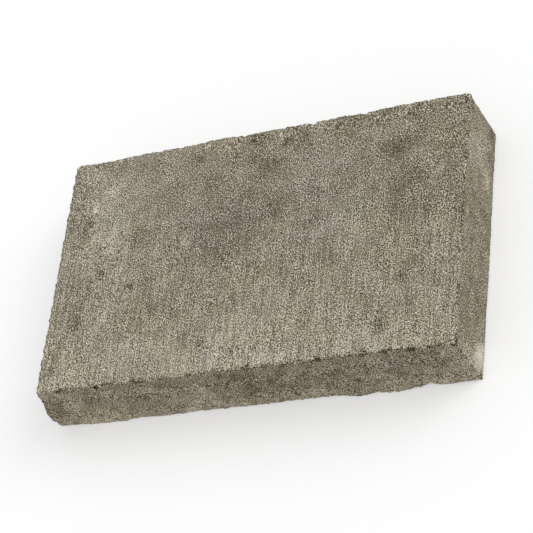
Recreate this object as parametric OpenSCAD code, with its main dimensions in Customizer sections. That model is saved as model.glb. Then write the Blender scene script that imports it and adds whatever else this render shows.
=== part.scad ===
// Concrete coping stone: one solid slab, cast on its long edge, that caps the top of a wall.
// It lies on its bed. X runs along the wall, Y across it and Z up.
// The origin is the middle of its greatest length and width, on the bed.

/* [Slab] */
// Length of the top face, along the wall
top_length = 400; // [200:5:600]
// Width of the top face, across the wall
top_width = 240; // [120:5:400]
// Thickness from the bed to the top face
thickness = 65; // [40:1:100]

/* [Spread towards the bed] */
// How far the left end leans out at the bed
left_end_lean = 20; // [0:1:30]
// How far the front face leans out at the bed
front_lean = 3; // [0:0.5:8]

/* [Edges] */
// Radius of the arrises round the top face
top_arris_r = 1.5; // [0.5:0.5:4]
// Radius of the arrises round the bed
bed_arris_r = 3; // [0.5:0.5:6]
// Radius of the upright corners
upright_corner_r = 4; // [1:0.5:10]
// Radius of the worn upright corner at the left end's back
left_back_corner_r = 8; // [1:0.5:12]
// Radius of the worn lower arris at the left end
left_bed_arris_r = 14; // [2:1:18]

/* [Hidden] */
$fn = 64;

bed_length = top_length + left_end_lean;
bed_width = top_width + front_lean;
left_lean_angle = atan2(left_end_lean, thickness);
front_lean_angle = atan2(front_lean, thickness);
// Extra length on each sweep, so that no sweep ends on a face of the stone
overrun = thickness;
full_reach = bed_length + bed_width + 2 * overrun;

// How far a face that leans out over the bed stops short of its sharp corner, once rounded
function rounding_loss(lean_angle, r) = r / tan((90 - lean_angle) / 2) - r;

left_loss = rounding_loss(left_lean_angle, left_bed_arris_r);
front_loss = rounding_loss(front_lean_angle, bed_arris_r);

// Where the stone's own faces stand, with its reach shared evenly about the origin
right_x = (bed_length - left_loss) / 2;
left_bed_x = right_x - bed_length;
left_top_x = right_x - top_length;
back_y = (bed_width - front_loss) / 2;
front_bed_y = back_y - bed_width;
front_top_y = back_y - top_width;

function unit(v) = v / norm(v);

// The centre of a circle of radius r in the corner at b of a convex outline, between a and c
function corner_centre(a, b, c, r) =
    let (to_a = unit(a - b), to_c = unit(c - b))
    let (half_angle = acos(to_a * to_c) / 2)
    b + unit(to_a + to_c) * r / sin(half_angle);

// How far that circle's two tangent points lie from the corner
function tangent_reach(a, b, c, r) =
    let (to_a = unit(a - b), to_c = unit(c - b))
    r / tan(acos(to_a * to_c) / 2);

// A convex outline whose corners are true arcs: radii[i] is the radius at corners[i]
module rounded_outline(corners, radii) {
    count = len(corners);
    before = [for (i = [0 : count - 1]) corners[(i + count - 1) % count]];
    after = [for (i = [0 : count - 1]) corners[(i + 1) % count]];
    reach = [for (i = [0 : count - 1]) tangent_reach(before[i], corners[i], after[i], radii[i])];
    polygon([
        for (i = [0 : count - 1], side = [before[i], after[i]])
            corners[i] + unit(side - corners[i]) * reach[i]
    ]);
    for (i = [0 : count - 1])
        translate(corner_centre(before[i], corners[i], after[i], radii[i]))
            circle(r = radii[i]);
}

// Length and thickness, seen from the front: the left end leans out towards the bed
module front_elevation() {
    rounded_outline(
        [[left_bed_x, 0], [right_x, 0], [right_x, thickness], [left_top_x, thickness]],
        [left_bed_arris_r, bed_arris_r, top_arris_r, top_arris_r]
    );
}

// Width and thickness, seen from the right end: the front face leans out towards the bed
module end_elevation() {
    rounded_outline(
        [[front_bed_y, 0], [back_y, 0], [back_y, thickness], [front_top_y, thickness]],
        [bed_arris_r, bed_arris_r, top_arris_r, top_arris_r]
    );
}

// A plan outline that reaches along +X, with its front and back corners on x = 0 rounded
module rounded_end_plan(front_r, back_r) {
    rounded_outline(
        [[0, front_bed_y], [full_reach, front_bed_y], [full_reach, back_y], [0, back_y]],
        [front_r, front_r, back_r, back_r]
    );
}

// The space between the rounded upright corners of the right end, which stands square
module right_end_sweep() {
    translate([right_x, 0, -overrun])
        mirror([1, 0, 0])
            linear_extrude(height = thickness + 2 * overrun)
                rounded_end_plan(upright_corner_r, upright_corner_r);
}

// The space between the rounded corners of the left end, swept along that end's lean
module left_end_sweep() {
    translate([left_bed_x, 0, 0])
        rotate([0, left_lean_angle, 0])
            translate([0, 0, -overrun])
                linear_extrude(height = full_reach)
                    rounded_end_plan(upright_corner_r, left_back_corner_r);
}

// The faces seen from the front, run across the whole width
module front_sweep() {
    translate([0, full_reach / 2, 0])
        rotate([90, 0, 0])
            linear_extrude(height = full_reach)
                front_elevation();
}

// The faces seen from the right end, run along the whole length
module length_sweep() {
    translate([-full_reach / 2, 0, 0])
        rotate([90, 0, 90])
            linear_extrude(height = full_reach)
                end_elevation();
}

// The sweeps meet in pairs, which keeps the solid sound at every corner radius
module coping_stone() {
    color([0.50, 0.47, 0.40])
        intersection() {
            intersection() {
                front_sweep();
                length_sweep();
            }
            intersection() {
                right_end_sweep();
                left_end_sweep();
            }
        }
}

coping_stone();
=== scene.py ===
"""The looks of a pressed concrete coping stone: its worn shape and its weathered finish.

The slab's faces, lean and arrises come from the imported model. This script gives it the relief
that pressed concrete has, from crumbled arrises down to grains of sand, and its colour.
Sizes are in metres, apart from those in the lists of marks, which are in millimetres.
"""

import itertools
import math

import bmesh
import bpy
import numpy as np
from mathutils import Matrix, Vector


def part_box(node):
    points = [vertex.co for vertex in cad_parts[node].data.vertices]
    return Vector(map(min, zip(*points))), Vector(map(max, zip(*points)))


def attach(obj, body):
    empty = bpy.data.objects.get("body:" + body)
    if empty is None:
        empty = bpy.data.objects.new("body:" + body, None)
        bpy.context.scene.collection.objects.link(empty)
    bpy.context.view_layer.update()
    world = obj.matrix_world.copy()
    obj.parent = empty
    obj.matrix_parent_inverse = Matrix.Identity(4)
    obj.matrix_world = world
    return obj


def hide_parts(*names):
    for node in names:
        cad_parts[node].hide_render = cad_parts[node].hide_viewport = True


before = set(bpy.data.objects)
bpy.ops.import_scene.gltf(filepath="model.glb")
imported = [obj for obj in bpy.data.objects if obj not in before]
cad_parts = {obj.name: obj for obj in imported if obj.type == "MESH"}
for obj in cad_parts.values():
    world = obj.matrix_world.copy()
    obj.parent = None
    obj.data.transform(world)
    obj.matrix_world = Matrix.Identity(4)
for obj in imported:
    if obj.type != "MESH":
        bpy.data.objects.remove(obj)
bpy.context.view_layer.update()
SLAB = "coping_stone"
MM = 0.001

# Camera: it looks down on the stone from the front and the square end, tilted about its own axis
VIEW_AZIMUTH = 42.46
VIEW_ELEVATION = 49.67
VIEW_ROLL = 43.32
VIEW_DISTANCE = 1.5466
VIEW_LENS = 120.95
SENSOR_WIDTH = 36.0
# The middle of the top face, inward from the square end and the back, and the aim point from it
TOP_MIDDLE = (200 * MM, 120 * MM)
AIM_OFFSET = (19.9 * MM, -23.5 * MM)

# Mesh spacing: close beside the arrises, where crumbs and chips show, and wider on the open faces
ARRIS_BAND = 12 * MM
ARRIS_STEP = 1.0 * MM
LENGTH_STEP = 1.45 * MM
WIDTH_STEP = 2.2 * MM
HEIGHT_STEP = 1.25 * MM
# Heights and distances closer than this count as equal
EQUAL = 0.01 * MM

# Marks set one by one at measured places, in millimetres: place along and across the face,
# radius, strength. The fainter ones even out what the stronger ones leave. Soil darkens the
# concrete and bloom is the pale lime that comes to its surface. Damp concrete is a little
# greyer, and drier and yellower where its strength is below 0. Rose marks are a little redder,
# and greener below 0. Marks may overlap, and their strengths add up.
TOP_SOIL = [
    # Patches
    (-8, 30, 66, 0.38), (-20, 22, 26, 0.08), (28, 36, 22, 0.20), (15, 88, 28, 0.62),
    (-40, 75, 18, 0.30), (-57, 103, 15, 0.60), (2, 112, 15, 0.70), (33, 106, 13, 0.70),
    (80, 110, 18, 0.60), (158, 110, 13, 0.50), (140, 80, 23, 0.85), (160, 50, 19, 0.55),
    (150, 25, 45, 0.35), (72, 18, 15, 0.40), (-110, 27, 18, 0.50), (-172, 50, 18, 0.30),
    (-145, -5, 15, 0.15), (-112, -22, 10, 0.60), (-164, -55, 11, 0.70), (-90, -15, 9, 0.45),
    (-28, -90, 10, 0.65), (5, -98, 9, 0.55), (-50, -80, 10, 0.35), (65, -80, 15, 0.25),
    (153, -50, 8, 0.90), (139, -95, 12, 1.15), (60, -5, 13, 0.25), (38, -28, 13, 0.25),
    (204, 3, 9, 0.45), (192, 70, 16, 0.35), (120, -80, 45, 0.48), (102, 112, 20, 0.60),
    (50, 108, 18, 0.35), (-18, 98, 18, 0.35), (-100, 100, 22, 0.30), (163, 90, 15, 0.35),
    (16, -24, 20, 0.42), (124, 110, 15, 0.45), (-186, -106, 18, 0.35), (-20, 112, 30, 0.22),
    (130, 113, 24, 0.20), (59, 86, 26, 0.20), (160, 82, 24, 0.18), (-80, 100, 22, 0.16),
    (114, 20, 22, 0.14), (-176, -98, 28, 0.20), (-102, -110, 20, 0.26), (72, -66, 22, 0.12),
    (12, 110, 18, 0.22), (-50, 112, 18, 0.22), (130, 112, 18, 0.24), (59, 91, 18, 0.28),
    (2, 92, 14, 0.35), (160, 92, 16, 0.28), (200, 90, 14, 0.25), (70, 70, 18, 0.16),
    (192, 50, 18, 0.24), (119, 22, 20, 0.28), (119, -6, 14, 0.16), (20, -48, 16, 0.20),
    (159, -68, 16, 0.25), (-180, -92, 16, 0.24), (-95, -95, 20, 0.24), (119, -110, 14, 0.25),
    (180, -108, 14, 0.25), (200, -8, 12, 0.20),
    # Small spots
    (-168, 49, 7, 1.35), (-144, -4, 7, 1.80), (0, 115, 7, 0.80), (-56, 103, 7, 0.60),
    (1, -100, 7, 0.60), (-110, -22, 7, 1.15), (31, 105, 7, 0.70), (157, 111, 7, 0.40),
    (-28, -88, 7, 0.35),
]
TOP_BLOOM = [
    # Patches
    (-158, 70, 28, 0.50), (-145, 88, 18, 0.45), (-140, 38, 32, 0.50), (-160, 5, 20, 0.30),
    (90, 15, 15, 0.15), (100, -5, 20, 0.20), (38, -110, 26, 0.20), (55, 68, 13, 0.15),
    (-62, 62, 15, 0.20), (-18, -105, 16, 0.45), (35, -110, 14, 0.45), (0, -78, 30, 0.20),
    (-165, -85, 14, 0.15), (-100, -95, 28, 0.25), (180, -108, 16, 0.40), (120, -100, 20, 0.20),
    (-168, 105, 28, 0.45), (-122, -20, 26, 0.35), (-140, -46, 18, 0.35), (190, -8, 20, 0.25),
    (182, -44, 16, 0.30), (-106, -32, 20, 0.40), (-186, 26, 20, 0.35), (-165, 82, 30, 0.16),
    (-130, 6, 22, 0.16), (192, -28, 20, 0.20), (178, 32, 16, 0.14), (-140, 92, 16, 0.22),
    (-182, 52, 14, 0.20), (-20, 31, 16, 0.18), (-60, 11, 16, 0.15), (-80, -28, 16, 0.20),
    (-108, -10, 18, 0.14), (-100, -48, 16, 0.17), (179, 111, 14, 0.18), (19, -102, 16, 0.22),
    (92, -8, 14, 0.13), (185, -28, 16, 0.13), (-150, 111, 16, 0.14),
    # Small spots
    (206, -20, 6, 0.35), (206, -29, 6, 0.40), (206, -38, 6, 0.40), (206, -47, 6, 0.40),
    (206, -56, 6, 0.40), (206, -65, 6, 0.35), (-162, 67, 7, 1.50), (-146, 83, 7, 0.50),
    (25, 115, 7, 0.40), (173, -112, 7, 0.60), (-134, -52, 7, 1.25), (185, 49, 7, 0.70),
    (-136, 21, 7, 1.00), (-158, 35, 7, 0.50), (-124, 0, 7, 0.60), (51, -112, 7, 1.20),
    (-58, 15, 7, 0.55), (-136, 41, 7, 0.35),
]
TOP_DAMP = [
    (-52, 30, 52, 0.75), (-50, 72, 32, 0.35), (-8, 32, 42, 0.55), (72, 60, 42, 0.60),
    (75, 5, 42, 0.60), (100, 25, 30, 0.40), (25, 45, 30, 0.25), (-85, 80, 30, 0.45),
    (-120, 112, 36, 0.35), (50, 92, 25, 0.30), (-150, 62, 28, 0.25),
    (-30, 113, 24, -1.10), (185, 85, 36, -0.35), (160, -20, 56, -0.40), (-100, -60, 56, -0.40),
    (-182, -95, 36, -0.40), (5, -42, 36, -0.35), (-60, -85, 40, -0.30), (-172, 40, 26, -0.20),
    (-182, -40, 25, -0.30), (40, -100, 50, -0.15),
]
TOP_ROSE = [
    (-10, 38, 52, 0.60), (-55, 88, 36, 0.40), (55, 85, 40, 0.40), (-30, 112, 26, 0.50),
    (-125, 112, 30, 0.40), (60, 45, 26, 0.40), (145, 70, 26, 0.25), (185, 92, 18, 0.40),
    (-140, 55, 44, -0.50), (105, 20, 32, -0.70), (-30, -108, 30, -0.50), (160, -112, 46, -0.70),
    (20, -90, 42, -0.30), (60, -80, 30, -0.25),
]
FRONT_DAMP = [
    (-172, 20, 42, -0.60), (-48, 20, 32, -0.50), (10, 44, 28, 0.45), (160, 42, 62, 0.45),
    (105, 40, 30, 0.30),
]
FRONT_SOIL = [
    # Patches
    (10, 40, 38, 0.55), (-145, 47, 24, 0.40), (-100, 35, 14, 0.35), (-100, 9, 13, 0.40),
    (-65, 52, 17, 0.40), (85, 38, 18, 0.25), (105, 24, 9, 0.50), (112, 55, 16, 0.35),
    (160, 48, 30, 0.35), (183, 40, 22, 0.50), (155, 20, 9, 0.40), (-190, 28, 15, 0.60),
    (-30, 45, 18, 0.20), (42, 28, 16, 0.30), (140, 35, 24, 0.35), (-100, 50, 26, 0.15),
    (-80, 28, 16, 0.16), (79, 54, 14, 0.22), (119, 40, 22, 0.20), (-112, 48, 14, 0.20),
    (-162, 54, 12, 0.20), (-60, 50, 12, 0.22), (-76, 34, 14, 0.24), (-18, 46, 18, 0.16),
    (79, 54, 12, 0.25), (119, 54, 12, 0.28), (119, 19, 12, 0.20), (-100, 17, 12, 0.22),
    (139, 38, 12, 0.14),
    # Small spots
    (185, 41, 6, 0.40), (-130, 57, 6, 0.80), (-64, 49, 6, 0.50), (107, 57, 6, 0.80),
    (-20, 21, 6, 1.30), (105, 23, 6, 1.00), (137, 33, 6, 0.30), (-12, 57, 6, 0.60),
    (-186, 25, 6, 0.60),
]
FRONT_BLOOM = [
    # Patches
    (-168, 36, 18, 0.35), (-150, 8, 16, 0.50), (-50, 24, 32, 0.35), (-85, 46, 10, 0.40),
    (13, 6, 13, 0.40), (60, 8, 16, 0.40), (130, 10, 14, 0.35), (-20, 12, 18, 0.25),
    (-60, 5, 15, 0.30), (170, 6, 14, 0.40), (60, 8, 22, 0.25), (16, 16, 22, 0.14),
    (165, 36, 30, 0.09), (198, 34, 14, 0.14), (-160, 18, 12, 0.14), (18, 17, 22, 0.12),
    # Small spots
    (57, 7, 6, 0.75), (-10, 7, 6, 1.60), (-82, 47, 6, 0.80), (-52, 19, 6, 1.60),
    (201, 33, 6, 1.10), (-150, 7, 6, 0.80), (-164, 7, 6, 0.80), (175, 7, 6, 0.60),
    (161, 7, 6, 0.40), (19, 7, 6, 0.60),
]
END_SOIL = [
    # Patches
    (-62, 20, 9, 0.60), (-72, 60, 10, 0.30), (-10, 44, 11, 0.35), (25, 20, 18, 0.30),
    (30, 52, 26, 0.30), (-16, 22, 10, 0.35), (0, 8, 13, 0.30), (-50, 42, 28, 0.08),
    (112, 10, 10, 0.45), (26, 20, 16, 0.14), (-76, 54, 12, 0.16), (75, 35, 12, 0.15),
    (-76, 50, 12, 0.14), (6, 20, 13, 0.22), (75, 41, 9, 0.22), (-50, 54, 10, 0.14),
    # Small spots
    (60, 35, 7, 0.35), (115, 13, 6, 0.80), (-88, 43, 6, 0.40), (111, 57, 6, 0.50),
    (-94, 57, 6, 0.60), (103, 7, 6, 1.10),
]
END_BLOOM = [
    # Patches
    (-107, 13, 17, 1.90), (-99, 8, 12, 0.90), (-106, 42, 14, 0.45), (60, 18, 20, 0.50),
    (78, 36, 13, 0.50), (85, 40, 34, 0.30), (75, 58, 15, 0.30), (-85, 16, 14, 0.26),
    (-8, 54, 22, 0.20), (-24, 34, 12, 0.16), (60, 16, 12, 0.18), (-84, 17, 13, 0.24),
    (-106, 54, 9, 0.18), (61, 17, 10, 0.15), (90, 54, 9, 0.14), (-22, 40, 12, 0.12),
    (-36, 28, 10, 0.12),
    # Small spots
    (-116, 53, 5, 0.80), (-117, 45, 5, 0.80), (-118, 37, 5, 0.80), (-118, 29, 5, 0.80),
    (-119, 21, 5, 0.80), (-94, 7, 6, 1.60), (67, 17, 6, 0.50), (55, 15, 6, 0.40),
    (-112, 25, 6, 0.70), (-34, 57, 6, 0.90), (61, 57, 6, 0.90), (9, 57, 6, 0.80),
]
# Marks along an arris: place along it, half length, strength. Knocks are broken out of the
# front face just under the top, and out of the arris between the top and the back.
FRONT_KNOCKS = [
    (-188, 6, 0.5), (-170, 10, 0.8), (-131, 6, 1.0), (-104, 7, 0.6), (-85, 15, 1.0),
    (-55, 7, 0.6), (-24, 7, 0.6), (20, 8, 0.75), (54, 6, 0.8), (82, 10, 1.0), (104, 5, 0.6),
    (125, 13, 1.0), (143, 7, 0.8), (165, 14, 0.9), (183, 8, 0.8), (204, 7, 0.9),
]
BACK_KNOCKS = [(-150, 6, 0.4), (-12, 6, 0.6), (57, 6, 0.7), (91, 5, 0.5), (108, 6, 0.6)]
# How far a knock reaches from the arris, and how far under the top the front's ones lie
KNOCK_REACH = 5.0
KNOCK_DROP = 3.0
# Swellings of the front face's lower edge and of the back's upper edge, with dips below 0, and
# how far they reach from the edge
BED_SWELLS = [
    (-150, 45, 0.9), (-88, 30, 0.6), (15, 18, 0.2), (98, 22, 1.2), (132, 24, 1.25),
    (161, 10, -0.9), (184, 20, 0.3),
]
BACK_SWELLS = [(-158, 38, -0.6), (160, 75, 0.8), (40, 50, 0.2), (-36, 32, 0.6), (85, 18, 0.6)]
SWELL_REACH = 16.0
# Lumps of the whole surface: place, radius and strength
LUMPS = [(-204, -116, 22, 20, 0.9), (-200, -116, 50, 14, -0.7)]


# ---------------------------------------------------------------- small node helpers


def feed(tree, socket, value):
    """Links value to the socket where it is a node's output, and sets it otherwise."""
    if isinstance(value, bpy.types.NodeSocket):
        tree.links.new(value, socket)
    elif value is not None:
        socket.default_value = value


def place(tree, kind, settings=None, inputs=None):
    """Adds a node of this kind, with its settings and its inputs by name."""
    node = tree.nodes.new(kind)
    for name, value in (settings or {}).items():
        setattr(node, name, value)
    for name, value in (inputs or {}).items():
        feed(tree, node.inputs[name], value)
    return node


def calc(tree, operation, a, b=None, c=None):
    """The result of a math node."""
    node = place(tree, "ShaderNodeMath", {"operation": operation})
    for socket, value in zip(node.inputs, (a, b, c)):
        feed(tree, socket, value)
    return node.outputs[0]


def total(tree, *values):
    """The sum of several values."""
    running = values[0]
    for value in values[1:]:
        running = calc(tree, "ADD", running, value)
    return running


def product(tree, *values):
    """The product of several values."""
    running = values[0]
    for value in values[1:]:
        running = calc(tree, "MULTIPLY", running, value)
    return running


def ramp(tree, value, start, end, low=0.0, high=1.0):
    """Runs smoothly from low to high as value goes from start to end."""
    node = place(
        tree,
        "ShaderNodeMapRange",
        {"interpolation_type": "SMOOTHSTEP"},
        {"Value": value, "From Min": start, "From Max": end, "To Min": low, "To Max": high},
    )
    return node.outputs["Result"]


def vector_calc(tree, operation, a, b):
    """The vector that a vector math node gives."""
    node = place(tree, "ShaderNodeVectorMath", {"operation": operation})
    feed(tree, node.inputs[0], a)
    feed(tree, node.inputs[1], b)
    return node.outputs["Vector"]


def noise(tree, position, size, detail=2.0, roughness=0.5, seed=0.0):
    """Noise from 0 to 1, whose features are about size across. seed picks another pattern."""
    node = place(
        tree,
        "ShaderNodeTexNoise",
        {"noise_dimensions": "4D"},
        {"Vector": position, "W": seed, "Detail": detail, "Roughness": roughness},
    )
    feed(tree, node.inputs["Scale"], calc(tree, "DIVIDE", 1.0, size))
    return node.outputs[0]


# ---------------------------------------------------------------- the stone's mesh


def graded_steps(low, high, open_step):
    """Grid lines from low to high: ARRIS_STEP apart near both ends and open_step between."""
    inner_low, inner_high = low + ARRIS_BAND, high - ARRIS_BAND
    band = round(ARRIS_BAND / ARRIS_STEP)
    middle = round((inner_high - inner_low) / open_step)
    return np.concatenate(
        [
            np.linspace(low, inner_low, band, endpoint=False),
            np.linspace(inner_low, inner_high, middle, endpoint=False),
            np.linspace(inner_high, high, band + 1),
        ]
    )


def open_grid_box(xs, ys, zs):
    """A box of quads on these grid lines, with the middle of its underside left open.
    Returns its points, its faces and each point's distance from its face's nearest arris."""
    lines = (xs, ys, zs)
    index, points, reach = {}, [], []

    def vertex(key):
        if key not in index:
            index[key] = len(points)
            point = [line[i] for line, i in zip(lines, key)]
            points.append(point)
            gaps = [min(value - line[0], line[-1] - value) for value, line in zip(point, lines)]
            reach.append(sorted(gaps)[1])
        return index[key]

    faces = []
    for axis in range(3):
        u, v = (axis + 1) % 3, (axis + 2) % 3
        ends = (0, len(lines[axis]) - 1)
        for end, i, j in itertools.product(ends, range(len(lines[u]) - 1), range(len(lines[v]) - 1)):
            corners = []
            for di, dj in ((0, 0), (1, 0), (1, 1), (0, 1)):
                key = [end, end, end]
                key[u], key[v] = i + di, j + dj
                corners.append(vertex(tuple(key)))
            inland = min(reach[corner] for corner in corners) > ARRIS_BAND - EQUAL
            if axis == 2 and end == 0 and inland:
                continue
            faces.append(corners if end else corners[::-1])
    return np.array(points), faces, reach


def close_underside(mesh):
    """Fills the open middle of the underside with a flat fan of triangles about its centre."""
    work = bmesh.new()
    work.from_mesh(mesh)
    rim = [edge for edge in work.edges if edge.is_boundary]
    filled = bmesh.ops.holes_fill(work, edges=rim)
    bmesh.ops.poke(work, faces=filled["faces"])
    loose = [vertex for vertex in work.verts if not vertex.link_faces]
    bmesh.ops.delete(work, geom=loose, context="VERTS")
    bmesh.ops.recalc_face_normals(work, faces=work.faces)
    work.to_mesh(mesh)
    work.free()


def lean_like(points, node):
    """Leans the box's left end and front face as the CAD slab's own top and bed do."""
    low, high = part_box(node)
    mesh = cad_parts[node].data
    top = np.array([v.co[:] for v in mesh.vertices if v.co.z > high.z - EQUAL])
    arris = high.x - top[:, 0].max()
    share = (points[:, 2] - low.z) / (high.z - low.z)
    for axis in (0, 1):
        drawn_in = (top[:, axis].min() - arris - low[axis]) * share
        span = high[axis] - low[axis]
        points[:, axis] += drawn_in * (high[axis] - points[:, axis]) / span
    return points


def apply_modifiers(piece):
    """Turns the piece's modifiers into its own plain mesh."""
    evaluated = piece.evaluated_get(bpy.context.evaluated_depsgraph_get())
    mesh = bpy.data.meshes.new_from_object(evaluated)
    piece.modifiers.clear()
    piece.data = mesh


def settle_on(piece, target):
    """Brings every vertex of the piece onto the target's surface, where it is nearest."""
    wrap = piece.modifiers.new("settle", "SHRINKWRAP")
    wrap.target = target
    wrap.wrap_method = "NEAREST_SURFACEPOINT"
    apply_modifiers(piece)


def store(mesh, name, values, kind="FLOAT"):
    """Keeps one value for each point of the mesh under this name."""
    field = "vector" if kind == "FLOAT_VECTOR" else "value"
    attribute = mesh.attributes.new(name, kind, "POINT")
    attribute.data.foreach_set(field, np.asarray(values, np.float32).ravel())


def spread(places, marks):
    """The marks' strengths at these places. Each fades smoothly to nothing at its radius."""
    strength = np.zeros(len(places))
    for *centre, radius, peak in marks:
        away = np.linalg.norm(places - np.array(centre) * MM, axis=1) / (radius * MM)
        strength += peak * np.clip(1 - away**2, 0, 1) ** 2
    return strength


def spread_along(points, marks, across, height, reach):
    """The strength of marks along the arris at this place across and height, which fade to
    nothing at their half length along it and at this reach from it."""
    away = np.hypot(points[:, 1] - across, points[:, 2] - height)
    beside = np.clip(1 - (away / (reach * MM)) ** 2, 0, 1) ** 2
    return beside * spread(points[:, :1], marks)


def face_share(facing, axis, way):
    """How much each point belongs to the face that looks this way along the axis."""
    return np.clip(facing[:, axis] * way * 2 - 0.8, 0, 1)


def store_marks(mesh, points, facing):
    """Keeps the strength of the marks of colour at each point."""
    top = face_share(facing, 2, 1)
    front = face_share(facing, 1, -1)
    end = face_share(facing, 0, 1)
    plan, elevation, profile = points[:, :2], points[:, [0, 2]], points[:, 1:]
    soil = top * spread(plan, TOP_SOIL) + front * spread(elevation, FRONT_SOIL)
    bloom = top * spread(plan, TOP_BLOOM) + front * spread(elevation, FRONT_BLOOM)
    store(mesh, "soil", soil + end * spread(profile, END_SOIL))
    store(mesh, "bloom", bloom + end * spread(profile, END_BLOOM))
    store(mesh, "damp", top * spread(plan, TOP_DAMP) + front * spread(elevation, FRONT_DAMP))
    store(mesh, "rose", top * spread(plan, TOP_ROSE))


def store_wear(mesh, points, facing):
    """Keeps the strength of the knocks and swellings at each point."""
    low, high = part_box(SLAB)
    flat_top = facing[:, 2] > 0.99
    front_arris = points[flat_top, 1].min()
    rim = high.z - KNOCK_DROP * MM
    knocks = spread_along(points, FRONT_KNOCKS, front_arris, rim, KNOCK_REACH)
    knocks += spread_along(points, BACK_KNOCKS, high.y, high.z, KNOCK_REACH)
    store(mesh, "knock", knocks)
    swells = spread_along(points, BED_SWELLS, low.y, low.z, SWELL_REACH)
    swells += spread_along(points, BACK_SWELLS, high.y, high.z, SWELL_REACH)
    swells += spread(points, LUMPS)
    store(mesh, "swelling", swells)


def plain_slab():
    """The slab's smooth shape as a fine, closed grid, with what the relief and finish read:
    facing is the direction of the smooth face and arris the distance from its nearest arris."""
    low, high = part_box(SLAB)
    xs = graded_steps(low.x, high.x, LENGTH_STEP)
    ys = graded_steps(low.y, high.y, WIDTH_STEP)
    zs = graded_steps(low.z, high.z, HEIGHT_STEP)
    points, faces, reach = open_grid_box(xs, ys, zs)
    mesh = bpy.data.meshes.new("weathered_slab")
    mesh.from_pydata(lean_like(points, SLAB).tolist(), [], faces)
    store(mesh, "arris", reach)
    close_underside(mesh)
    slab = bpy.data.objects.new("weathered_slab", mesh)
    bpy.context.scene.collection.objects.link(slab)
    settle_on(slab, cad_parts[SLAB])
    mesh = slab.data
    points = np.array([vertex.co[:] for vertex in mesh.vertices])
    facing = np.array([normal.vector[:] for normal in mesh.vertex_normals])
    store(mesh, "facing", facing, "FLOAT_VECTOR")
    store_marks(mesh, points, facing)
    store_wear(mesh, points, facing)
    return slab


# ---------------------------------------------------------------- relief


# The most that any of the relief stands above the top face
RISE_LIMIT = 1.2 * MM
# Sizes of the relief, in metres, with how much rougher the front is and the pattern's seed
RELIEF = {
    "Seed": 4.0,
    "Undulation": 1.2 * MM,
    "Undulation size": 90 * MM,
    "Grain": 0.6 * MM,
    "Grain size": 6 * MM,
    "Front roughness": 1.5,
    "Burr height": 5.0 * MM,
    "Burr limit": 0.8 * MM,
    "Burr size": 3.6 * MM,
    "Crumb depth": 1.5 * MM,
    "Crumb size": 8 * MM,
    "Crumb reach": 3.0 * MM,
    "Knock depth": 3.0 * MM,
    "Knock raggedness": 4.5 * MM,
    "Swelling height": 2.0 * MM,
    "Pit depth": 1.2 * MM,
    "Pit spacing": 24 * MM,
    "Pit radius": 2.4 * MM,
}
# The axis and the way along it that each side of the slab looks
SIDES = {"left": ("X", -1), "right": ("X", 1), "front": ("Y", -1), "back": ("Y", 1)}
# How high the burrs stand on each side's arrises, how rough the square end is, and how deep its
# arrises have crumbled, each as a share of the same on the rest of the slab
BURR_SHARES = {"left": 1.7, "right": 0.8, "front": 1.4, "back": 0.62}
END_ROUGHNESS = 0.3
END_CRUMBLING = 0.35
# The levels of noise at which a crumb or a knock begins and is whole, and how much noise frays
# the rims of the knocks
CRUMB_LEVELS = (0.50, 0.62)
KNOCK_LEVELS = (0.36, 0.56)
KNOCK_FRAY = 1.6
# The share of the pits' cells that stay without a pit
PITLESS = 0.75
# Further out than any part of the slab
FAR = 1.0


def named_attribute(tree, name, kind="FLOAT"):
    """The value that the mesh keeps under this name."""
    node = place(tree, "GeometryNodeInputNamedAttribute", {"data_type": kind}, {"Name": name})
    return node.outputs["Attribute"]


def on_side(tree, facing, side, share):
    """This share on one side of the slab, going over to 1 on the faces beside it."""
    axis, way = SIDES[side]
    return ramp(tree, facing[axis], 0.2 * way, 0.6 * way, 1.0, share)


def lost_crumbs(tree, given, position, arris, facing):
    """Crumbs lost here and there along every arris."""
    crumbs = noise(tree, position, given["Crumb size"], 2.5, 0.65, total(tree, given["Seed"], 7.0))
    near = ramp(tree, arris, 0.0, given["Crumb reach"], 1.0, 0.0)
    fewer = on_side(tree, facing, "right", END_CRUMBLING)
    return product(tree, ramp(tree, crumbs, *CRUMB_LEVELS), near, given["Crumb depth"], fewer)


def lost_knocks(tree, given, position):
    """Knocks, whose broken edge is ragged."""
    ragged = noise(tree, position, given["Knock raggedness"], 2.0, 0.6, total(tree, given["Seed"], 11.0))
    frayed = calc(tree, "MULTIPLY", ragged, KNOCK_FRAY)
    broken = total(tree, named_attribute(tree, "knock"), frayed, -KNOCK_FRAY / 2)
    return product(tree, ramp(tree, broken, *KNOCK_LEVELS), given["Knock depth"])


def air_pits(tree, given, position):
    """Pits left by trapped air, in about one cell of four."""
    scale = calc(tree, "DIVIDE", 1.0, given["Pit spacing"])
    cells = place(
        tree,
        "ShaderNodeTexVoronoi",
        {"voronoi_dimensions": "4D"},
        {"Vector": position, "W": given["Seed"], "Scale": scale},
    )
    kind = place(tree, "FunctionNodeSeparateColor", None, {"Color": cells.outputs["Color"]}).outputs
    away = product(tree, cells.outputs["Distance"], given["Pit spacing"])
    radius = product(tree, given["Pit radius"], total(tree, kind["Green"], 0.5))
    bowl = ramp(tree, calc(tree, "DIVIDE", away, radius), 0.3, 1.0, 1.0, 0.0)
    present = ramp(tree, kind["Red"], PITLESS - 0.01, PITLESS + 0.01)
    return product(tree, bowl, present, given["Pit depth"])


def relief_losses(tree, given, position, arris, facing):
    """How much is missing at each point: crumbs, knocks and pits."""
    crumbs = lost_crumbs(tree, given, position, arris, facing)
    return total(tree, crumbs, lost_knocks(tree, given, position), air_pits(tree, given, position))


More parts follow.
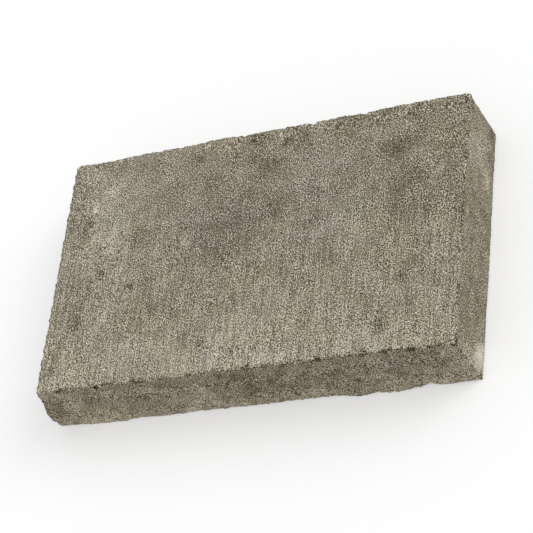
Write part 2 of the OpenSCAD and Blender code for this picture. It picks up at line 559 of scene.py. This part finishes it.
def lumpy_grain(tree, given, position, facing):
    """Lumps of coarse grain, highest on the front and lowest on the square end."""
    lumps = noise(tree, position, given["Grain size"], 3.0, 0.6, total(tree, given["Seed"], 3.0))
    front = ramp(tree, facing["Y"], -0.55, -0.9)
    rougher = calc(tree, "MULTIPLY_ADD", front, given["Front roughness"], 1.0)
    smoother = ramp(tree, facing["X"], 0.4, 0.8, 1.0, END_ROUGHNESS)
    return product(tree, total(tree, lumps, -0.5), given["Grain"], product(tree, rougher, smoother))


def worn_burrs(tree, given, position, arris, facing):
    """Burrs along the arrises, whose highest tips have worn off."""
    burrs = noise(tree, position, given["Burr size"], 2.0, 0.7, total(tree, given["Seed"], 17.0))
    shares = [on_side(tree, facing, side, share) for side, share in BURR_SHARES.items()]
    near = ramp(tree, arris, 0.0, given["Crumb reach"], 1.0, 0.0)
    height = product(tree, given["Burr height"], near, product(tree, *shares))
    return calc(tree, "MINIMUM", product(tree, total(tree, burrs, -0.5), height), given["Burr limit"])


def relief_gains(tree, given, position, arris, facing):
    """How far each point stands out or back: undulation, lumpy grain, burrs and swellings."""
    swell = total(tree, noise(tree, position, given["Undulation size"], 1.0, 0.5, given["Seed"]), -0.5)
    return total(
        tree,
        product(tree, swell, given["Undulation"]),
        lumpy_grain(tree, given, position, facing),
        worn_burrs(tree, given, position, arris, facing),
        product(tree, named_attribute(tree, "swelling"), given["Swelling height"]),
    )


def relief_sockets(tree):
    """Gives the relief tree its named inputs and its output. Returns the inputs' values."""
    sockets = tree.interface
    sockets.new_socket("Geometry", in_out="INPUT", socket_type="NodeSocketGeometry")
    for name, value in RELIEF.items():
        size = sockets.new_socket(name, in_out="INPUT", socket_type="NodeSocketFloat")
        size.default_value = value
    sockets.new_socket("Material", in_out="INPUT", socket_type="NodeSocketMaterial")
    sockets.new_socket("Geometry", in_out="OUTPUT", socket_type="NodeSocketGeometry")
    return tree.nodes.new("NodeGroupInput").outputs


def finish_geometry(tree, geometry, material):
    """Ends the tree: the geometry as one real mesh, in its material."""
    realized = place(tree, "GeometryNodeRealizeInstances", None, {"Geometry": geometry})
    finished = place(
        tree,
        "GeometryNodeSetMaterial",
        None,
        {"Geometry": realized.outputs["Geometry"], "Material": material},
    )
    tree.links.new(finished.outputs["Geometry"], tree.nodes.new("NodeGroupOutput").inputs[0])


def within_limits(tree, moved):
    """The moved positions, where nothing reaches below the bed or far above the top."""
    above = vector_calc(tree, "MAXIMUM", moved, (-FAR, -FAR, 0.0))
    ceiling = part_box(SLAB)[1].z + RISE_LIMIT
    return vector_calc(tree, "MINIMUM", above, (FAR, FAR, ceiling))


def relief_tree():
    """Geometry nodes that give the smooth slab the relief of worn, pressed concrete.
    They keep the depth that is missing at each point, in millimetres, as hollow, which the finish turns
    into painted shade."""
    tree = bpy.data.node_groups.new("concrete_relief", "GeometryNodeTree")
    given = relief_sockets(tree)
    position = tree.nodes.new("GeometryNodeInputPosition").outputs[0]
    outward = named_attribute(tree, "facing", "FLOAT_VECTOR")
    facing = place(tree, "ShaderNodeSeparateXYZ", None, {"Vector": outward}).outputs
    arris = named_attribute(tree, "arris")
    # The flat middle of the underside stays flat
    under = product(tree, ramp(tree, facing["Z"], -0.9, -0.99), ramp(tree, arris, 4 * MM, 10 * MM))
    shaped = calc(tree, "SUBTRACT", 1.0, under)
    losses = product(tree, relief_losses(tree, given, position, arris, facing), shaped)
    gains = product(tree, relief_gains(tree, given, position, arris, facing), shaped)
    rise = calc(tree, "SUBTRACT", gains, losses)
    push = place(tree, "ShaderNodeVectorMath", {"operation": "SCALE"}, {"Vector": outward, "Scale": rise})
    moved = vector_calc(tree, "ADD", position, push.outputs["Vector"])

    kept = place(
        tree,
        "GeometryNodeStoreNamedAttribute",
        {"data_type": "FLOAT", "domain": "POINT"},
        {"Geometry": given["Geometry"], "Name": "hollow", "Value": product(tree, losses, 1 / MM)},
    )
    worn = place(
        tree,
        "GeometryNodeSetPosition",
        None,
        {"Geometry": kept.outputs["Geometry"], "Position": within_limits(tree, moved)},
    )
    finish_geometry(tree, worn.outputs["Geometry"], given["Material"])
    return tree


def weathered_slab(material):
    """The slab with its relief, as one plain mesh."""
    slab = plain_slab()
    relief = slab.modifiers.new("relief", "NODES")
    relief.node_group = relief_tree()
    values = {**RELIEF, "Material": material}
    for item in relief.node_group.interface.items_tree:
        if item.in_out == "INPUT" and item.name in values:
            relief[item.identifier] = values[item.name]
    apply_modifiers(slab)
    for polygon in slab.data.polygons:
        polygon.use_smooth = True
    return slab


# ---------------------------------------------------------------- finish


def new_group(name, inputs, outputs):
    """An empty shader node group, with its input and output nodes' sockets."""
    group = bpy.data.node_groups.new(name, "ShaderNodeTree")
    for label, kind, value in inputs:
        socket = group.interface.new_socket(label, in_out="INPUT", socket_type=kind)
        if value is not None:
            socket.default_value = value
    for label, kind in outputs:
        group.interface.new_socket(label, in_out="OUTPUT", socket_type=kind)
    given = group.nodes.new("NodeGroupInput").outputs
    result = group.nodes.new("NodeGroupOutput").inputs
    return group, given, result


# Brings the square end to a whole number of grains, where the noise is as fine as on the top
GRAIN_SHIFT = 0.48 * MM
# How far the tone of single grains, of the pores between them, which is their painted shade, and of the
# fine noise differs
GRAIN_CONTRAST = 0.10
PORE_SHADE_CONTRAST = -0.10
FINE_CONTRAST = 3.95


def rare_grains(group, vector, given):
    """A few grains that are much paler than the rest, and a few dots of painted shade as of tiny holes.
    """
    spots = place(
        group,
        "ShaderNodeTexVoronoi",
        None,
        {"Vector": vector, "Scale": calc(group, "DIVIDE", 0.5, given["Grain size"])},
    )
    kind = place(group, "ShaderNodeSeparateColor", None, {"Color": spots.outputs["Color"]}).outputs["Red"]
    middle = ramp(group, spots.outputs["Distance"], 0.20, 0.45, 1.0, 0.0)
    pale = product(group, ramp(group, kind, 0.93, 0.95), given["Pale grains"])
    # Painted shade of tiny holes, with no hollow under it
    dark = product(group, ramp(group, kind, 0.08, 0.06), given["Hole shade"], -1.0)
    return product(group, middle, total(group, pale, dark))


def sand_grain_group():
    """Grains of sand in cement, with pores between them that the bump sinks and that are painted darker
    as their shade. Shade is about 0.5 on average.
    """
    group, given, result = new_group(
        "sand_grain",
        [
            ("Vector", "NodeSocketVector", None),
            ("Grain size", "NodeSocketFloat", 1.0 * MM),
            ("Drag", "NodeSocketFloat", 0.74),
            ("Pale grains", "NodeSocketFloat", 0.45),
            ("Hole shade", "NodeSocketFloat", 0.40),
        ],
        [("Shade", "NodeSocketFloat"), ("Height", "NodeSocketFloat")],
    )
    squeeze = place(group, "ShaderNodeCombineXYZ", None, {"X": 1.0, "Y": given["Drag"], "Z": 1.0})
    dragged = vector_calc(group, "MULTIPLY", given["Vector"], squeeze.outputs[0])
    dragged = vector_calc(group, "ADD", dragged, (GRAIN_SHIFT, 0.0, 0.0))
    spacing = calc(group, "MULTIPLY", given["Grain size"], 0.75)
    grains = place(
        group,
        "ShaderNodeTexVoronoi",
        None,
        {"Vector": dragged, "Scale": calc(group, "DIVIDE", 1.0, spacing)},
    )
    each = place(group, "ShaderNodeSeparateColor", None, {"Color": grains.outputs["Color"]}).outputs
    pores = ramp(group, grains.outputs["Distance"], 0.35, 0.75)
    fine = noise(group, dragged, given["Grain size"], 1.0, 0.6, 1.0)
    shade = total(
        group,
        calc(group, "MULTIPLY", total(group, each["Red"], -0.5), GRAIN_CONTRAST),
        # Painted shade in the pores between the grains
        calc(group, "MULTIPLY", total(group, pores, -0.4), PORE_SHADE_CONTRAST),
        calc(group, "MULTIPLY", total(group, fine, -0.5), FINE_CONTRAST),
        rare_grains(group, dragged, given),
        0.5,
    )
    group.links.new(shade, result["Shade"])
    body = calc(group, "SUBTRACT", 1.0, pores)
    height = product(group, body, total(group, each["Green"], 0.5))
    group.links.new(total(group, height, fine), result["Height"])
    return group


def drag_lines_group():
    """Fine lines drawn across the slab by the press. Shade is about 0 on average."""
    group, given, result = new_group(
        "drag_lines",
        [
            ("Vector", "NodeSocketVector", None),
            ("Line width", "NodeSocketFloat", 1.3 * MM),
            ("Length ratio", "NodeSocketFloat", 0.04),
        ],
        [("Shade", "NodeSocketFloat")],
    )
    squeeze = place(group, "ShaderNodeCombineXYZ", None, {"X": 1.0, "Y": given["Length ratio"], "Z": 1.0})
    along = vector_calc(group, "MULTIPLY", given["Vector"], squeeze.outputs[0])
    lines = noise(group, along, given["Line width"], 1.0, 0.5, 5.0)
    group.links.new(ramp(group, lines, 0.32, 0.68, -0.5, 0.5), result["Shade"])
    return group


def mottling_group():
    """Clouds of lighter and darker cement. Shade is 0.5 on average."""
    group, given, result = new_group(
        "mottling",
        [
            ("Vector", "NodeSocketVector", None),
            ("Cloud size", "NodeSocketFloat", 60 * MM),
            ("Seed", "NodeSocketFloat", 0.0),
        ],
        [("Shade", "NodeSocketFloat")],
    )
    clouds = noise(group, given["Vector"], given["Cloud size"], 5.0, 0.62, given["Seed"])
    group.links.new(ramp(group, clouds, 0.33, 0.67), result["Shade"])
    return group


def use_group(tree, group, inputs):
    """The outputs of this node group, placed in the tree with these inputs."""
    return place(tree, "ShaderNodeGroup", {"node_tree": group}, inputs).outputs


def mixed_colour(tree, share, first, second, blend="MIX"):
    """The first colour, going over to its blend with the second as share goes from 0 to 1."""
    node = place(tree, "ShaderNodeMix", {"data_type": "RGBA", "blend_type": blend})
    # The mix node's share and its two colours are these of its inputs
    for number, value in ((0, share), (6, first), (7, second)):
        feed(tree, node.inputs[number], value)
    return node.outputs[2]


# The concrete's colours from its pores, through its cement, to its palest sand
GRAIN_COLOURS = [
    (0.0, (0.049, 0.037, 0.018, 1.0)),
    (0.5, (0.2290, 0.2029, 0.1302, 1.0)),
    (1.0, (0.775, 0.718, 0.570, 1.0)),
]
# The tint of the damp, greyer areas, how damp the stone is all over, and how much of the same
# tint its pale lime has
DAMP_TINT = (1.0, 1.0, 1.085, 1.0)
EVEN_DAMP = 0.33
LIME_GREYNESS = 0.6
# The tint of the rosy areas, and how rosy the stone is all over
ROSE_TINT = (1.0, 0.965, 0.992, 1.0)
EVEN_ROSE = 0.4
# The yellower tint of the front, which the square end has in part
SIDE_TINT = (1.0, 0.976, 0.934, 1.0)


def grain_colour(tree, tone):
    """The colour of concrete of this tone, which runs from 0 to 1."""
    node = place(tree, "ShaderNodeValToRGB", None, {"Fac": tone})
    stops = node.color_ramp.elements
    while len(stops) < len(GRAIN_COLOURS):
        stops.new(0.5)
    for stop, (tone_at, colour) in zip(stops, GRAIN_COLOURS):
        stop.position = tone_at
        stop.color = colour
    return node.outputs["Color"]


def mesh_value(tree, name):
    """The value that the mesh keeps under this name."""
    return place(tree, "ShaderNodeAttribute", {"attribute_name": name}).outputs["Fac"]


def face_masks(tree):
    """How much each point belongs to the top, the front, the square end and the leaning end."""
    facing = place(tree, "ShaderNodeAttribute", {"attribute_name": "facing"}).outputs["Vector"]
    side = place(tree, "ShaderNodeSeparateXYZ", None, {"Vector": facing}).outputs
    ways = (("Z", 1), ("Y", -1), ("X", 1), ("X", -1))
    return [ramp(tree, side[axis], 0.5 * way, 0.8 * way) for axis, way in ways]


# Steps of tone, where the whole range from pore to pale sand is 1. Soil is darker on the front,
# by the second of its two steps.
SOIL_TONE = -0.24
FRONT_SOIL_TONE = -0.06
BLOOM_TONE = 0.28
# Painted shade in crumbs, knocks and pits, darker the deeper they go
HOLLOW_SHADE_TONE = -0.22
CLOUD_TONE = 0.05
FRONT_MOTTLE_TONE = 0.12
TOP_FRONT_TONE = 0.12
LOWER_EDGE_TONE = 0.10
FRONT_TONE = -0.046
END_TONE = -0.077
# How deep a hollow goes on deepening its painted shade, in millimetres
HOLLOW_LIMIT = 1.5
# The drag lines' strength from the back of the top to its front
LINES_BACK = 0.06
LINES_FRONT = 0.27
# The least and the most contrast of the grain from place to place
CRISPNESS = (0.72, 1.25)


def by_face(tree, masks, base, top=0.0, front=0.0, end=0.0, leaning=0.0):
    """A base value, with what each face adds to it."""
    shares = zip(masks, (top, front, end, leaning))
    return total(tree, base, *[calc(tree, "MULTIPLY", mask, share) for mask, share in shares if share])


def mottled(tree, mottling, position, size, seed):
    """Clouds of this size from the mottling group, from 0 to 1."""
    return use_group(tree, mottling, {"Vector": position, "Cloud size": size, "Seed": seed})["Shade"]


def drag_tone(tree, position, top, across):
    """The drag lines, which show most toward the front of the top."""
    lines = use_group(tree, drag_lines_group(), {"Vector": position})["Shade"]
    return product(tree, lines, top, ramp(tree, across, 120 * MM, -60 * MM, LINES_BACK, LINES_FRONT))


def mark_and_shade_tones(tree, ragged, masks):
    """The soil, the bloom and the painted shade in the hollows. Marks keep their strength inside and fray
    at their rims.
    """
    fray = calc(tree, "MULTIPLY_ADD", ragged, 0.9, 0.55)
    soiled = by_face(tree, masks, SOIL_TONE, front=FRONT_SOIL_TONE)
    # Painted shade in the hollows, by their depth
    hollow = calc(tree, "MINIMUM", mesh_value(tree, "hollow"), HOLLOW_LIMIT)
    return total(
        tree,
        product(tree, mesh_value(tree, "soil"), fray, soiled),
        product(tree, mesh_value(tree, "bloom"), fray, BLOOM_TONE),
        calc(tree, "MULTIPLY", hollow, HOLLOW_SHADE_TONE),
    )


def concrete_tone(tree, position, grain_shade):
    """How pale the concrete is, from 0 to 1: grain, drag lines, clouds, soil, bloom and the painted shade
    of its hollows.
    """
    spot = place(tree, "ShaderNodeSeparateXYZ", None, {"Vector": position}).outputs
    masks = face_masks(tree)
    top, front = masks[:2]
    mottling = mottling_group()
    clouds = mottled(tree, mottling, position, 60 * MM, 2.0)
    patches = mottled(tree, mottling, position, 15 * MM, 9.0)
    ragged = mottled(tree, mottling, position, 5 * MM, 31.0)
    crisp_places = mottled(tree, mottling, position, 12 * MM, 57.0)
    # The front is the patchiest face, and the top the most even
    patchiness = by_face(tree, masks, 0.20, top=-0.10, front=0.06, end=-0.08)
    # The grain is crisper in some places than in others, and softest on the leaning end
    crispness = ramp(tree, crisp_places, 0.2, 0.8, *CRISPNESS)
    crispness = by_face(tree, masks, crispness, front=0.24, end=0.06, leaning=-0.28)
    # The top pales toward the front, and the front toward its lower edge
    front_of_top = product(tree, top, ramp(tree, spot["Y"], -30 * MM, -110 * MM, 0.0, TOP_FRONT_TONE))
    lower_edge = product(tree, front, ramp(tree, spot["Z"], 22 * MM, 4 * MM, 0.0, LOWER_EDGE_TONE))
    return total(
        tree,
        calc(tree, "MULTIPLY_ADD", total(tree, grain_shade, -0.5), crispness, 0.5),
        drag_tone(tree, position, top, spot["Y"]),
        ramp(tree, clouds, 0.0, 1.0, -CLOUD_TONE, CLOUD_TONE),
        product(tree, total(tree, patches, -0.5), patchiness),
        product(tree, total(tree, ragged, -0.5), front, FRONT_MOTTLE_TONE),
        mark_and_shade_tones(tree, ragged, masks),
        front_of_top,
        lower_edge,
        by_face(tree, masks, 0.0, front=FRONT_TONE, end=END_TONE),
    )


# How much of the sides' tint the square end has
END_YELLOWING = 0.5
# Damp comes and goes over places of this size, by this much
STAIN_SIZE = 22 * MM
STAIN_CHANGE = 0.3
# The roughness of the darkest pores and of the palest sand, and the sheen and bump of them all
ROUGHNESS = (0.97, 0.84)
SHEEN = 0.25
BUMP_STRENGTH = 0.9
BUMP_DEPTH = 0.4 * MM


def tinted(tree, position, colour):
    """The concrete's colour with its damp and rosy areas and its yellower sides."""
    stain = noise(tree, position, STAIN_SIZE, 2.0, 0.5, 41.0)
    damp = total(
        tree,
        EVEN_DAMP,
        mesh_value(tree, "damp"),
        calc(tree, "MULTIPLY", mesh_value(tree, "bloom"), LIME_GREYNESS),
        ramp(tree, stain, 0.35, 0.65, -STAIN_CHANGE, STAIN_CHANGE),
    )
    damp = calc(tree, "MAXIMUM", calc(tree, "MINIMUM", damp, 1.0), 0.0)
    rose = calc(tree, "MAXIMUM", total(tree, mesh_value(tree, "rose"), EVEN_ROSE), 0.0)
    yellower_sides = by_face(tree, face_masks(tree), 0.0, front=1.0, end=END_YELLOWING)
    for share, tint in ((damp, DAMP_TINT), (rose, ROSE_TINT), (yellower_sides, SIDE_TINT)):
        colour = mixed_colour(tree, share, colour, tint, "MULTIPLY")
    return colour


def concrete_material():
    """Weathered, open-grained concrete, from its clouded cement down to its sand."""
    material = bpy.data.materials.new("weathered_concrete")
    material.use_nodes = True
    tree = material.node_tree
    shader = tree.nodes["Principled BSDF"].inputs
    position = place(tree, "ShaderNodeTexCoord").outputs["Object"]
    sand = use_group(tree, sand_grain_group(), {"Vector": position})
    colour = grain_colour(tree, concrete_tone(tree, position, sand["Shade"]))
    feed(tree, shader["Base Color"], tinted(tree, position, colour))
    feed(tree, shader["Roughness"], ramp(tree, sand["Shade"], 0.0, 1.0, *ROUGHNESS))
    shader["Specular IOR Level"].default_value = SHEEN
    bump = place(
        tree,
        "ShaderNodeBump",
        None,
        {"Strength": BUMP_STRENGTH, "Distance": BUMP_DEPTH, "Height": sand["Height"]},
    )
    feed(tree, shader["Normal"], bump.outputs["Normal"])
    return material


# ---------------------------------------------------------------- studio


def make_camera():
    """A camera at the stone's display angle, aimed at its top face."""
    low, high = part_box(SLAB)
    top_middle = Vector((high.x - TOP_MIDDLE[0], high.y - TOP_MIDDLE[1], high.z))
    aim = top_middle + Vector((*AIM_OFFSET, 0.0))
    azimuth, elevation = math.radians(VIEW_AZIMUTH), math.radians(VIEW_ELEVATION)
    back = Vector(
        (
            math.sin(azimuth) * math.cos(elevation),
            -math.cos(azimuth) * math.cos(elevation),
            math.sin(elevation),
        )
    )
    data = bpy.data.cameras.new("camera")
    data.sensor_width = SENSOR_WIDTH
    data.lens = VIEW_LENS
    camera = bpy.data.objects.new("camera", data)
    level = (-back).to_track_quat("-Z", "Y").to_matrix().to_4x4()
    tilt = Matrix.Rotation(-math.radians(VIEW_ROLL), 4, "Z")
    camera.matrix_world = Matrix.Translation(aim + back * VIEW_DISTANCE) @ level @ tilt
    bpy.context.scene.collection.objects.link(camera)
    bpy.context.scene.camera = camera


FLOOR_REACH = 8.0
# What the floor sends back to the stone, and what the camera sees of it: partly lit by the
# studio, so that it keeps the stone's shadow, and partly white of its own
FLOOR_BOUNCE = (0.85, 0.85, 0.84, 1.0)
FLOOR_SEEN = (0.64, 0.64, 0.64, 1.0)
FLOOR_WHITE = (0.37, 0.37, 0.37, 1.0)
BLACK = (0.0, 0.0, 0.0, 1.0)


def seen_directly(tree):
    """1 for rays from the camera, and for those that a polished or clear surface sends on."""
    path = place(tree, "ShaderNodeLightPath").outputs
    straight = calc(tree, "MAXIMUM", path["Is Camera Ray"], path["Is Glossy Ray"])
    return calc(tree, "MAXIMUM", straight, path["Is Transmission Ray"])


def make_floor():
    """A pale floor under the stone. The camera sees it white, with the stone's soft shadow."""
    mesh = bpy.data.meshes.new("floor")
    reach = FLOOR_REACH
    mesh.from_pydata(
        [(-reach, -reach, 0), (reach, -reach, 0), (reach, reach, 0), (-reach, reach, 0)],
        [],
        [(0, 1, 2, 3)],
    )
    floor = bpy.data.objects.new("floor", mesh)
    bpy.context.scene.collection.objects.link(floor)
    material = bpy.data.materials.new("pale_floor")
    material.use_nodes = True
    tree = material.node_tree
    seen = seen_directly(tree)
    shader = tree.nodes["Principled BSDF"]
    feed(tree, shader.inputs["Base Color"], mixed_colour(tree, seen, FLOOR_BOUNCE, FLOOR_SEEN))
    feed(tree, shader.inputs["Emission Color"], mixed_colour(tree, seen, BLACK, FLOOR_WHITE))
    shader.inputs["Emission Strength"].default_value = 1.0
    shader.inputs["Roughness"].default_value = 1.0
    shader.inputs["Specular IOR Level"].default_value = 0.0
    mesh.materials.append(material)


# The strength of the white surround, and of the key light with its direction and spread
SKY_STRENGTH = 0.78
KEY_STRENGTH = 1.15
KEY_DIRECTION = (0.75, 0.35, 0.62)
KEY_SPREAD = 40.0


def make_lights():
    """A soft key light from above and an even surround."""
    scene = bpy.context.scene
    scene.world = bpy.data.worlds.new("studio")
    scene.world.use_nodes = True
    tree = scene.world.node_tree
    surround = tree.nodes["Background"]
    surround.inputs["Color"].default_value = (1.0, 1.0, 1.0, 1.0)
    strength = calc(tree, "MULTIPLY_ADD", seen_directly(tree), 1.0 - SKY_STRENGTH, SKY_STRENGTH)
    feed(tree, surround.inputs["Strength"], strength)
    data = bpy.data.lights.new("key", "SUN")
    data.energy = KEY_STRENGTH
    data.angle = math.radians(KEY_SPREAD)
    key = bpy.data.objects.new("key", data)
    key.rotation_euler = Vector(KEY_DIRECTION).to_track_quat("Z", "Y").to_euler()
    scene.collection.objects.link(key)
    scene.view_settings.view_transform = "Standard"


make_camera()
make_floor()
make_lights()
stone = weathered_slab(concrete_material())
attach(stone, "root")
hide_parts(SLAB)
